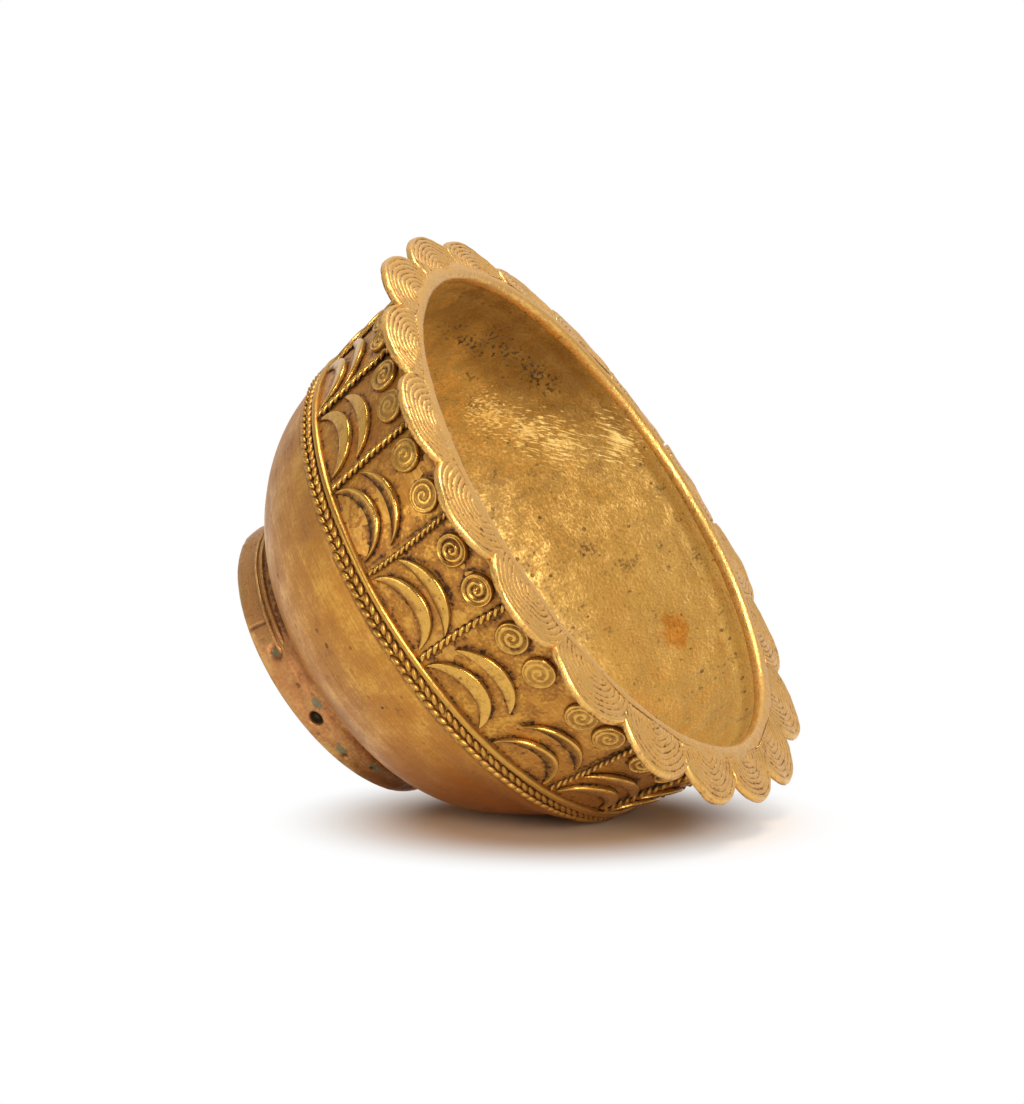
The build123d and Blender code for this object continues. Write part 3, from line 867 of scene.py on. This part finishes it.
# %% Wires of the frieze and threads of the foot
wire_place, fine_wire_place = on_wall(wire_edge - 0.9, 0.35), on_wall(fine_wire_edge + 0.6, 0.2)
wire = thread_ring("plain_wire", wire_place, 0.88, 0.95, flare, seed=4.0)
finish_piece(wire, cord_finish, "cord_brass", "border_wire_lower")
fine_wire = thread_ring("fine_wire", fine_wire_place, 0.6, 0.65, flare, seed=9.0)
finish_piece(fine_wire, cord_finish, "cord_brass", "border_wire_upper")
worn_thread_angle, worn_thread_far, worn_thread_near, worn_depth = -50.0, 56.0, 50.0, 1.3
foot_thread_lean, foot_beads = -0.28, 260
from_worn = np.cos(thread_turn - math.radians(worn_thread_angle))
thread_far, thread_near = math.cos(math.radians(worn_thread_far)), math.cos(math.radians(worn_thread_near))
worn_away = worn_depth * smooth_step(from_worn, thread_far, thread_near)
for thread_name, height, proud in (("foot_thread_upper", 6.9, 0.25), ("foot_thread_lower", 5.5, 0.05)):
    thread_place = (float(foot_side(height)) + proud, height)
    thread = thread_ring(
        thread_name + "_wax", thread_place, 0.55, 0.6, foot_thread_lean, seed=height,
        axis=foot_axis, sunk=worn_away, beads=foot_beads)
    finish_piece(thread, foot_finish, "foot_brass", thread_name)


# %% [markdown]
# ## The plait
# The plait is two rows of leaf-shaped strands that lean opposite ways and meet in the middle. Two
# twisted tubes would look like rope; separate leaves give the herringbone of the real one. Each row is
# one strand of few faces, copied round the bowl.

# %% Strands of the plait
STRANDS = 165
strand_rings, strand_sides = 7, 8
strand_length, strand_width, strand_height = 3.5, 1.45, 1.0
strand_lift, strand_tilt = 0.2, 0.3


def strand(name, up, lean):
    """A leaf-shaped strand lying on the wall at +X, one end lifted over the next."""
    along = np.linspace(-1.0, 1.0, strand_rings)
    around = np.linspace(0.0, TAU, strand_sides, endpoint=False)
    body = np.maximum(1.0 - along**2, 0.0) ** 0.6
    x = np.repeat(along[:, None] * strand_length / 2, strand_sides, 1)
    y = body[:, None] * np.cos(around) * strand_width / 2
    out = strand_lift + body[:, None] * np.sin(around) * strand_height + strand_tilt * along[:, None]
    across = x * math.cos(lean) - y * math.sin(lean)
    slope_place = up + x * math.sin(lean) + y * math.cos(lean)
    points = laid_on_wall(across, slope_place, out).reshape(-1, 3)
    crest = np.clip((out - 0.15) / strand_height, 0.0, 1.0).reshape(-1) ** 1.3
    return make_mesh(name, points, grid_faces(strand_rings, strand_sides, loop_columns=True), crest)


for row_name, up, lean, seed in (("lower", 1.15, 0.42, 3), ("upper", 3.25, -0.36, 7)):
    leaf = strand("strand_" + row_name, up, lean)
    row = copies_round(
        "plait_row_" + row_name, leaf, cord_finish, STRANDS, 0.0, turn=0.16, slide=0.12, seed=seed)
    finish_piece(row, cord_finish, "cord_brass", "plait_cord_" + row_name)


# %% [markdown]
# ## Ropes between the panels
# Each divider is two wax threads twisted together and pressed on the wall, so only its upper half
# shows. A bump map could only draw the twist; here one rope is two tubes that follow a double helix.
# Three ropes, some thicker than others, are copied in turn, and the real bowl has lost one.

# %% A twisted rope
rope_sides, rings_per_turn = 8, 18
helix_share, strand_share, rope_lift = 0.50, 0.60, 0.5
rope_sway, end_length, end_share = 0.35, 0.8, 0.35
rope_start, rope_end = wire_edge + 0.3, fine_wire_edge - 0.2
print("a rope is", round(rope_end - rope_start, 2), "mm long")


def twisted_rope(name, start, end, thick, pitch):
    """Two strands twisted up the wall at +X, from one distance up the slope to another."""
    helix, strand_radius, length = helix_share * thick, strand_share * thick, end - start
    rings = int(length / pitch * rings_per_turn)
    way = np.linspace(0.0, length, rings)
    around = np.linspace(0.0, TAU, rope_sides, endpoint=False)
    sway = rope_sway * np.sin(way / length * math.pi * 1.4 + thick * 9)
    taper = np.clip(np.minimum(way, length - way) / end_length, end_share, 1.0)[:, None]
    up = np.repeat((start + way)[:, None], rope_sides, 1)
    points, faces, crest = [], [], []
    for number, first in enumerate((0.0, math.pi)):
        turn = first + way / pitch * TAU
        across = (sway + helix * np.cos(turn))[:, None] + strand_radius * taper * np.cos(around)
        out = (rope_lift * thick + helix * np.sin(turn))[:, None] + strand_radius * taper * np.sin(around)
        points.append(laid_on_wall(across, up, out).reshape(-1, 3))
        base = number * rings * rope_sides
        last = base + (rings - 1) * rope_sides
        sides = grid_faces(rings, rope_sides, loop_columns=True)
        faces += [[base + i for i in quad[::-1]] for quad in sides]
        faces += [[base + i for i in range(rope_sides)], [last + i for i in reversed(range(rope_sides))]]
        crest.append(np.clip((out / thick - 0.35) / 1.15, 0.0, 1.0).reshape(-1) ** 1.2)
    return make_mesh(name, np.concatenate(points), faces, np.concatenate(crest))


# %% Copies of the ropes
rope_sizes = ((0.75, 3.4), (1.0, 4.0), (0.92, 3.8))
kinds = len(rope_sizes)
rope_rings = []
for number, (thick, pitch) in enumerate(rope_sizes):
    rope = twisted_rope(f"rope_{number}", rope_start, rope_end, thick, pitch)
    lost = (missing_divider - 1) // kinds if (missing_divider - 1) % kinds == number else -1
    first = panel_phase + panel_angle * number
    ring = copies_round(
        f"rope_ring_{number}", rope, relief_finish, panels // kinds, first, left_out=lost, turn=0.5,
        seed=number + 11)
    rope_rings.append(ring)
rope_nodes = [f"divider_rope_{n:02d}" for n in range(1, panels + 1) if n != missing_divider]
finish_piece(joined("divider_ropes", rope_rings), relief_finish, "frieze_brass", *rope_nodes)


# %% [markdown]
# ## Crescents
# A crescent lies between two arcs through the same tips. Its outer edge stands up sharply and its inner
# edge slopes. An extruded outline would be flat on top, so the crescent is a section carried from tip
# to tip instead. Three slightly different crescents, rounded, flat and ridged, are copied round in
# turn.

# %% Shape of a crescent
crescent_relief, tip_height, crescent_steps = 1.45, 0.15, 45
section_parts = (0.0, 0.0, 0.1, 0.3, 0.5, 0.7, 0.85, 0.95, 1.0, 1.0)
section_heights = {
    "rounded": (-0.1, 0.35, 0.60, 0.80, 0.92, 0.99, 1.0, 0.93, 0.75, -0.1),
    "flat": (-0.1, 0.60, 0.82, 0.89, 0.92, 0.95, 0.98, 0.96, 0.82, -0.1),
    "ridged": (-0.1, 0.15, 0.28, 0.43, 0.62, 0.90, 1.05, 0.97, 0.72, -0.1),
}
print("forms of crescent", list(section_heights))


def crescent(name, form, tips, span, rise, depth, seed):
    """A crescent on the wall at +X whose sizes vary a little with the seed."""
    chance = random.Random(seed)
    span *= chance.uniform(0.96, 1.03)
    rise *= chance.uniform(0.96, 1.05)
    depth *= chance.uniform(0.95, 1.15)
    lop = chance.uniform(0.02, 0.09)
    inner_x, inner_y = arc_through_tips(span, rise - depth, crescent_steps)
    outer_x, outer_y = arc_through_tips(span, rise, crescent_steps)
    tip = np.sin(np.linspace(0.0, math.pi, crescent_steps)) ** 0.45
    rows, crest = [], []
    for part, proud in zip(section_parts, section_heights[form]):
        across = inner_x + (outer_x - inner_x) * part
        up = tips + (inner_y + (outer_y - inner_y) * part) * (1.0 + lop * across / span * 2)
        out = proud * crescent_relief * (0.4 + 0.6 * tip)
        out[[0, -1]] = tip_height * crescent_relief
        rows.append(laid_on_wall(across, up, out))
        crest.append(np.full(crescent_steps, min(1.0, max(0.0, proud)) ** 1.6))
    faces = grid_faces(len(rows), crescent_steps, loop_rows=True)
    return make_mesh(name, np.concatenate(rows), faces, np.concatenate(crest))


# %% Copies of the crescents
def crescent_ring(name, sizes, seeds):
    """Three forms of crescent in turn, one crescent in each panel."""
    rings = []
    for number, (form, seed) in enumerate(zip(section_heights, seeds)):
        shape = crescent(f"{name}_{number}", form, *sizes, seed)
        first = panel_phase + panel_angle * (0.5 + number)
        ring = copies_round(
            f"{name}_{number}", shape, relief_finish, panels // len(section_heights), first, turn=0.4,
            slide=0.35, seed=seed)
        rings.append(ring)
    return joined(name, rings)


small_crescents = crescent_ring("small_crescents", inner_crescent, (5, 6, 8))
finish_piece(small_crescents, relief_finish, "frieze_brass", "inner_crescents")
large_crescents = crescent_ring("large_crescents", outer_crescent, (15, 16, 18))
finish_piece(large_crescents, relief_finish, "frieze_brass", "outer_crescents")


# %% [markdown]
# ## Coiled discs
# Each disc is a wax thread coiled flat. A bevelled spiral curve would leave a gap at its middle and
# under its turns. Here the disc's surface is a polar grid whose height follows a spiral: the ridge
# moves out by one thread's width in each turn. Its side drops straight to the ground. Some coils are
# worn nearly smooth.

# %% Shape of a disc
disc_rows, disc_spokes = 30, 64
disc_top, coil_ridge, worn_crown = 0.80, 0.54, 0.42
# Rows of the side: share of the radius, height out of the wall and crest
disc_side = ((1.005, 0.72, 0.6), (1.01, 0.35, 0.3), (1.02, -0.25, 0.0))
print("a disc has", (disc_rows + len(disc_side)) * disc_spokes, "points")


def coiled_disc(name, side, worn, seed):
    """A coil on the wall at +X, moved to one side; worn 0 is crisp and 1 is smooth."""
    chance = random.Random(seed)
    radius = disc_radius * chance.uniform(0.96, 1.03)
    thread = chance.uniform(1.45, 1.65)
    start = chance.uniform(0.0, TAU)
    far = np.linspace(0.02, 1.0, disc_rows)[:, None]
    turn = np.linspace(0.0, TAU, disc_spokes, endpoint=False)[None, :]
    ridge = (0.5 + 0.5 * np.cos(TAU * far * radius / thread - turn)) ** 0.8
    rim = bell(far, 0.92, 0.09)
    ridge = np.maximum(ridge * (1 - 0.8 * rim), rim)
    crown = worn_crown * worn * (1 - 0.4 * far**2)
    top = disc_top + crown + coil_ridge * (1 - worn) * ridge - 0.25 * smooth_step(far, 0.94, 1.0)
    shine = np.clip(0.12 + 0.85 * np.maximum(ridge, worn * 0.72), 0.0, 1.0)
    out = np.concatenate([top] + [np.full((1, disc_spokes), low) for _, low, _ in disc_side])
    crest = np.concatenate([shine] + [np.full((1, disc_spokes), crest_part) for _, _, crest_part in disc_side])
    reach = np.concatenate([far, [[part] for part, _, _ in disc_side]]) * radius
    across, up = reach * np.cos(turn + start), disc_centre + reach * np.sin(turn + start)
    points = laid_on_wall(side + across, up, out).reshape(-1, 3)
    rows = disc_rows + len(disc_side)
    faces = [quad[::-1] for quad in grid_faces(rows, disc_spokes, loop_columns=True)]
    faces += [list(range(disc_spokes)), [(rows - 1) * disc_spokes + i for i in reversed(range(disc_spokes))]]
    return make_mesh(name, points, faces, crest.reshape(-1))


# %% Copies of the discs
disc_wear = ((-1, 0.0), (1, 0.05), (-1, 0.35), (1, 0.75), (-1, 0.7), (1, 0.65))
disc_rings = []
for number, (side, worn) in enumerate(disc_wear):
    shape = coiled_disc(f"disc_{number}", side * disc_offset, worn, number + 31)
    first = panel_phase + panel_angle * (0.5 + number // 2)
    ring = copies_round(
        f"disc_ring_{number}", shape, relief_finish, panels * 2 // len(disc_wear), first, turn=0.5,
        slide=0.35, seed=number + 40)
    disc_rings.append(ring)
finish_piece(joined("coiled_discs", disc_rings), relief_finish, "frieze_brass", "spiral_discs")

# %% [markdown]
# ## The lip
# The lip is a smooth ring on top of the wall. It is rounded on the inside, where hands and cloths have
# polished it, and its inner face stands a hair proud of the wall's inside, so that only a soft dark
# line shows between them. It could be the top rows of the wall's own lathe, but a piece of its own
# keeps its pale finish apart.

# %% Mesh of the lip
LIP_COLUMNS = 400
collar_radius = node_box("lip_collar")[1][0]
# Each point has its radius from the collar's outside or from the mouth, its height and its crest
lip_line = (
    (collar_radius - 0.2, collar_seat + 0.2, 0.3), (collar_radius + 0.2, mouth_height - 2.2, 0.4),
    (collar_radius - 0.2, mouth_height - 1.2, 0.5), (collar_radius - 0.9, mouth_height - 0.62, 0.55),
    (collar_radius - 2.0, mouth_height - 0.25, 0.6), (mouth_radius + 1.8, mouth_height - 0.02, 0.65),
    (mouth_radius + 0.9, mouth_height - 0.05, 0.72), (mouth_radius + 0.3, mouth_height - 0.4, 0.78),
    (mouth_radius - 0.1, mouth_height - 1.1, 0.7), (mouth_radius - 0.22, mouth_height - 2.0, 0.6),
    (mouth_radius - 0.15, mouth_height - 2.8, 0.42), (mouth_radius + 0.5, mouth_height - 3.4, 0.2),
    (mouth_radius + 2.2, collar_seat - 0.2, 0.2),
)
lip_outline, lip_shine = np.array(lip_line)[:, :2], np.array(lip_line)[:, 2]
lip_points = lathe(lip_outline, LIP_COLUMNS)
lip_push = rough(lip_points, 14.0, 0.24, seed=2.0) + rough(lip_points, 3.0, 0.08, seed=6.0)
lip_push *= smooth_step(lip_points[:, 2], mouth_height - 2.6, mouth_height - 0.8) * 0.8 + 0.2
lip_points = lip_points + lathe_normals(lip_outline, LIP_COLUMNS) * lip_push[:, None]
lip_faces = grid_faces(len(lip_outline), LIP_COLUMNS, loop_rows=True, loop_columns=True)
lip = make_mesh("lip_smooth", lip_points, lip_faces, np.repeat(lip_shine, LIP_COLUMNS))
finish_piece(lip, rim_finish, "rim_brass", "lip_collar")


# %% [markdown]
# ## Petals
# Each petal is a plate made of threads laid as half ovals, one inside the other. Threads as bevelled
# curves would need nine pieces for a petal; a polar grid gives them all at once: going out from the
# middle of its root the height rises and falls once for each thread. The rim isn't quite true on the
# real bowl, so no two petals are alike: they are longer on one side, droop more on the other and are
# set a little off their even places.

# %% Place and size of a petal
petals, petal_phase = 19, 11.4
petal_thickness, petal_root, petal_hinge = 1.3, 67.5, 69.0
petal_reach, petal_half_width = 79.4, 13.4
longer_side, longer_by = 20.0, 1.7
shift_side, shift_degrees = 50.0, 2.0
near_side, beyond_side = -100.0, 118.0
droop_least, droop_near, droop_beyond = 5.0, 7.0, 10.0
# Stretches with longer or shorter petals: angle and half width in degrees, change in millimetres
petal_changes = ((24, 14, 1.3), (-13, 10, -1.5), (199, 12, 1.2), (152, 14, -0.8))


def petal_place(number):
    """Angle, length, droop, half width and sway of a petal, with angles in radians."""
    chance = random.Random(number * 7 + 1)
    even = math.radians(petal_phase + number * 360.0 / petals)
    shift = shift_degrees + shift_degrees * math.cos(even - math.radians(shift_side))
    angle = even - math.radians(shift + chance.uniform(-0.4, 0.4))
    length = petal_reach - petal_root + longer_by * math.cos(angle - math.radians(longer_side))
    length += chance.uniform(-0.7, 0.5)
    for where, width, change in petal_changes:
        away = math.degrees(math.acos(math.cos(angle - math.radians(where))))
        length += change * bell(away, 0.0, width)
    near = max(0.0, math.cos(angle - math.radians(near_side)))
    beyond = max(0.0, math.cos(angle - math.radians(beyond_side)))
    droop = droop_least + droop_beyond * beyond**2 + droop_near * near + chance.uniform(-2.0, 2.0)
    half_width = petal_half_width * chance.uniform(0.98, 1.02)
    sway = chance.uniform(-0.6, 0.6)
    return angle, length, math.radians(droop), half_width, sway


print("first petal at", round(math.degrees(petal_place(0)[0]), 1), "degrees")

# %% Mesh of a petal
PETAL_THREADS, PETAL_RINGS, PETAL_SPOKES = 9, 84, 48
petal_drop, thread_height, thread_wander = 0.62, 0.40, 0.12
edge_start, edge_drop, edge_lift = 0.95, 0.45, 0.35
next_petal = math.tan(math.pi / petals)


def petal(number):
    """A plate with threads on top that ends at its own oval or where the next petal begins."""
    angle, length, droop, half_width, sway = petal_place(number)
    far = np.linspace(0.0, 1.0, PETAL_RINGS)[:, None]
    turn = np.linspace(0.0, math.pi, PETAL_SPOKES)[None, :]
    wide = half_width * np.cos(turn) + sway * np.sin(turn)
    past_next = np.abs(wide) - length * np.sin(turn) * next_petal
    share = np.minimum(1.0, petal_root * next_petal / np.maximum(past_next, 1e-6))
    reach, free = far * share, smooth_step(share, 0.97, 1.0)
    x, y = reach * wide, reach * length * np.sin(turn)
    wander = thread_wander * np.sin(turn * 5 + number) * smooth_step(far, 0.0, 0.1)
    place = (reach * PETAL_THREADS + wander) % 1.0
    ridge = np.sqrt(np.clip(1.0 - (2.0 * place - 1.0) ** 2, 0.0, 1.0))
    near_edge = np.clip((far - edge_start) / (1.0 - edge_start), 0.0, 1.0)
    edge = free * (1.0 - np.sqrt(np.clip(1.0 - near_edge**2, 0.0, 1.0)))
    top = thread_height * ridge - petal_thickness * edge_drop * edge
    under = -petal_thickness + edge_lift * edge
    shine = np.clip(0.68 * ridge + 0.4 * free * smooth_step(far, 0.92, 1.0), 0.0, 1.0)
    out = np.concatenate([top, under[::-1]])
    x, y = np.concatenate([x, x[::-1]]), np.concatenate([y, y[::-1]])
    past_hinge = np.maximum(0.0, petal_root + y - petal_hinge)
    radius = petal_root + y - past_hinge * (1 - math.cos(droop))
    height = mouth_height - petal_drop - past_hinge * math.sin(droop) + out
    east = radius * math.cos(angle) - x * math.sin(angle)
    north = radius * math.sin(angle) + x * math.cos(angle)
    points = np.stack([east, north, height], -1).reshape(-1, 3)
    flat = points * (1, 1, 0)
    points[:, 2] += rough(flat, 6.0, 0.30, seed=number) + rough(flat, 2.0, 0.10, seed=number)
    crest = np.concatenate([shine, np.full_like(under, 0.3)]).reshape(-1)
    faces = grid_faces(PETAL_RINGS * 2, PETAL_SPOKES, loop_rows=True, loop_columns=True)
    return make_mesh(f"petal_{number + 1:02d}_threads", points, faces, crest)


for number in range(petals):
    finish_piece(petal(number), rim_finish, "rim_brass", f"petal_{number + 1:02d}")

# %% [markdown]
# ## The photo's view
# In the photo the bowl lies tipped on the edge of its foot and on its plait. Tipping the model would
# take it out of the shared frame. So it stands upright, and the camera and the floor are tipped
# instead: the camera is rolled, and the floor is the plane that touches the foot's edge and the plait.

# %% Camera
camera_elevation, camera_roll = math.radians(21.59), math.radians(56.61)
camera_place = Vector((-2.6, -562.8, 276.8)) * MM
focal_pixels, photo_width, photo_height, sensor = 2500.0, 1024.0, 1104.0, 36.0
look = Vector((0.0, math.cos(camera_elevation), -math.sin(camera_elevation)))
level_up = Vector((0.0, math.sin(camera_elevation), math.cos(camera_elevation)))
level_right = Vector((1.0, 0.0, 0.0))
photo_right = level_right * math.cos(camera_roll) + level_up * math.sin(camera_roll)
photo_up = photo_right.cross(look)
camera_data = bpy.data.cameras.new("camera")
camera_data.sensor_width = sensor
camera_data.lens = focal_pixels * sensor / photo_height
camera = bpy.data.objects.new("camera", camera_data)
turned = Matrix((photo_right, photo_up, -look)).transposed().to_4x4()
camera.matrix_world = Matrix.Translation(camera_place) @ turned
bpy.context.scene.collection.objects.link(camera)
bpy.context.scene.camera = camera
print("camera up", [round(v, 3) for v in photo_up])

# %% [markdown]
# ## The floor
# The floor is a sheet that touches the bowl and takes its shadow. A white floor alone would look grey
# in the picture, so outside an oval round the place where the shadow falls it turns into plain white for
# the camera and for reflections, and its far edge can't be told from the backdrop. Inside the oval it is
# brown, a painted shadow that makes the real one darker and warmer, and the oval's edge paints where the
# shadow ends. Its back is clear, so that views from the other side aren't blocked.

# %% Floor
floor_up = Vector((-0.831, 0.108, 0.546)).normalized()
floor_size = 2.5
lowest = math.inf
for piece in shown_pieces():
    places = np.empty(len(piece.data.vertices) * 3, np.float32)
    piece.data.vertices.foreach_get("co", places)
    lowest = min(lowest, float((places.reshape(-1, 3) @ np.array(floor_up)).min()))
flat_x = floor_up.cross(look).normalized()
flat_y = floor_up.cross(flat_x).normalized()
floor_mesh = bpy.data.meshes.new("floor")
corners = []
for a, b in ((-1, -1), (1, -1), (1, 1), (-1, 1)):
    corners.append(tuple(floor_up * lowest + flat_x * a * floor_size + flat_y * b * floor_size))
floor_mesh.from_pydata(corners, [], [(0, 1, 2, 3)])
if floor_mesh.polygons[0].normal.dot(floor_up) < 0:
    floor_mesh.flip_normals()
floor = bpy.data.objects.new("floor", floor_mesh)
bpy.context.scene.collection.objects.link(floor)
print("floor", round(lowest / MM, 2), "mm from the origin")

# %% Floor's material
# Painted shadow: the floor is brown in an oval round this place and white outside it
shadow_across, shadow_down = 556.0, 818.0
shadow_reach, shadow_full, shadow_end = (0.070, 0.060, 1.0), 0.4, 1.0
to_right = photo_right * (shadow_across - photo_width / 2)
to_below = photo_up * (shadow_down - photo_height / 2)
ray = look * focal_pixels + to_right - to_below
shadow_middle = camera_place + ray * ((lowest - floor_up.dot(camera_place)) / floor_up.dot(ray))
floor_finish = bpy.data.materials.new("floor_white_and_painted_shadow")
floor_finish.use_nodes = True
tree = floor_finish.node_tree
tree.nodes.remove(tree.nodes["Principled BSDF"])
path = add_node(tree, "ShaderNodeLightPath")
seen = path["Is Camera Ray"]
for label in ("Is Glossy Ray", "Is Transmission Ray"):
    seen = calculate(tree, "MAXIMUM", seen, path[label])
place = add_node(tree, "ShaderNodeTexCoord")["Object"]
along_floor = Matrix((flat_x, flat_y, floor_up)).transposed().to_euler()
far_off = distance_from(tree, place, shadow_middle, shadow_reach, along_floor)
share = calculate(tree, "MULTIPLY", seen, ramp(tree, far_off, shadow_full, shadow_end))
# Painted shadow: this brown colour darkens and warms the shadow
painted_shadow_paper = add_node(tree, "ShaderNodeBsdfDiffuse", {"Color": colour(0.59, 0.42, 0.27)})[0]
white = add_node(tree, "ShaderNodeEmission")[0]
front = add_node(tree, "ShaderNodeMixShader", {0: share, 1: painted_shadow_paper, 2: white})[0]
clear = add_node(tree, "ShaderNodeBsdfTransparent")[0]
is_back = add_node(tree, "ShaderNodeNewGeometry")["Backfacing"]
sheet = add_node(tree, "ShaderNodeMixShader", {0: is_back, 1: front, 2: clear})[0]
fill_inputs(tree, tree.nodes["Material Output"], {"Surface": sheet})
floor_mesh.materials.append(floor_finish)
print("shadow about", [round(v / MM) for v in shadow_middle])

# %% [markdown]
# ## World and lamps
# Polished metal shows what stands round it more than its own colour, so the room matters. A photo of a
# room could light the bowl, but two levels of white are enough: a bright backdrop behind the bowl and a
# darker room behind the camera, which the metal sees as contrast. For the camera itself the backdrop is
# plain white. Two large soft lamps add most of the light, one above the bowl and one in front of it,
# and a weak one stands on the left.

# %% World
world = bpy.data.worlds.new("studio")
bpy.context.scene.world = world
world.use_nodes = True
tree = world.node_tree
way = add_node(tree, "ShaderNodeTexCoord")["Generated"]
facing = add_node(tree, "ShaderNodeVectorMath", {0: way, 1: look}, operation="DOT_PRODUCT")["Value"]
room_light = {"Value": facing, "From Min": -0.6, "From Max": 0.8, "To Min": 0.30, "To Max": 0.85}
room = add_node(tree, "ShaderNodeMapRange", room_light)[0]
seen = add_node(tree, "ShaderNodeLightPath")["Is Camera Ray"]
level = calculate(tree, "MAXIMUM", room, seen)
fill_inputs(tree, tree.nodes["Background"], {"Color": colour(1.0, 1.0, 1.0), "Strength": level})
print("world", world.name)

# %% Lamps
bowl_middle = Vector((0.0, 0.0, 0.042))


def lamp(name, towards, distance, size, power):
    """A square soft lamp from a direction in the photo: right, up and towards the camera."""
    way = (photo_right * towards[0] + photo_up * towards[1] - look * towards[2]).normalized()
    data = bpy.data.lights.new(name, "AREA")
    data.size, data.energy = size, power
    light = bpy.data.objects.new(name, data)
    light.location = bowl_middle + way * distance
    light.rotation_mode = "QUATERNION"
    light.rotation_quaternion = (-way).to_track_quat("-Z", "Y")
    bpy.context.scene.collection.objects.link(light)


lamp("overhead", (0.15, 1.0, 0.22), distance=0.8, size=0.32, power=6.2)
lamp("front", (0.3, 0.22, 1.0), distance=1.1, size=0.5, power=11.3)
lamp("left", (-1.0, 0.1, 0.6), distance=1.0, size=0.4, power=1.3)
print("lamps", [light.name for light in bpy.data.lights])

# %% [markdown]
# ## Colour view
# The Standard view shows colours as the materials and lamps give them, without the softening of a film
# look.

bpy.context.scene.view_settings.view_transform = "Standard"
